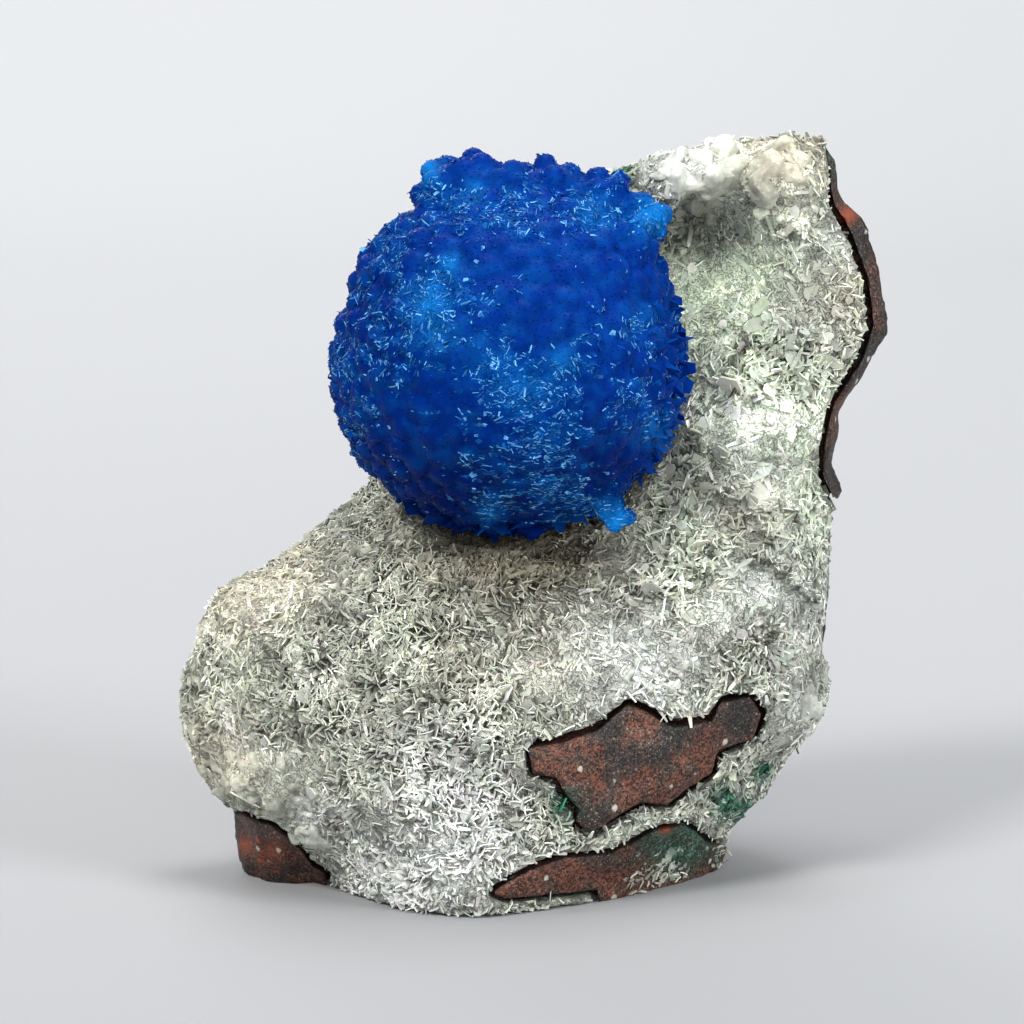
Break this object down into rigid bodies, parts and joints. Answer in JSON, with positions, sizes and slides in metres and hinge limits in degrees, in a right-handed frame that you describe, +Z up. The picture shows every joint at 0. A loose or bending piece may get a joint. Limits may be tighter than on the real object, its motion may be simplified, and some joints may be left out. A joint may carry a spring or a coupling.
{
  "type": "cavansite mineral specimen",
  "caption": "Deep blue ball of radiating cavansite crystals seated on a pale druse of stilbite blades over a chair-shaped piece of basalt breccia; stands upright on its flat underside.",
  "frame": {"origin": "middle of the box around the specimen, at the height of the surface it stands on", "axes": "+Z up, -Y the crystal side that faces the viewer, +X to the viewer's right"},
  "size_m": [0.0398, 0.0254, 0.0417],
  "materials": {
    "basalt": "broken red-brown to green-black basalt breccia, matt, with green celadonite patches and gas bubbles",
    "stilbite": "colourless to grey-green pearly blades with a glassy shine",
    "cavansite": "vivid cobalt blue crystals with glassy faces and lighter blue tips"
  },
  "bodies": {
    "root": {"basalt_matrix": "basalt", "stilbite_crust": "stilbite", "cavansite_ball": "cavansite"}
  },
  "joints": []
}
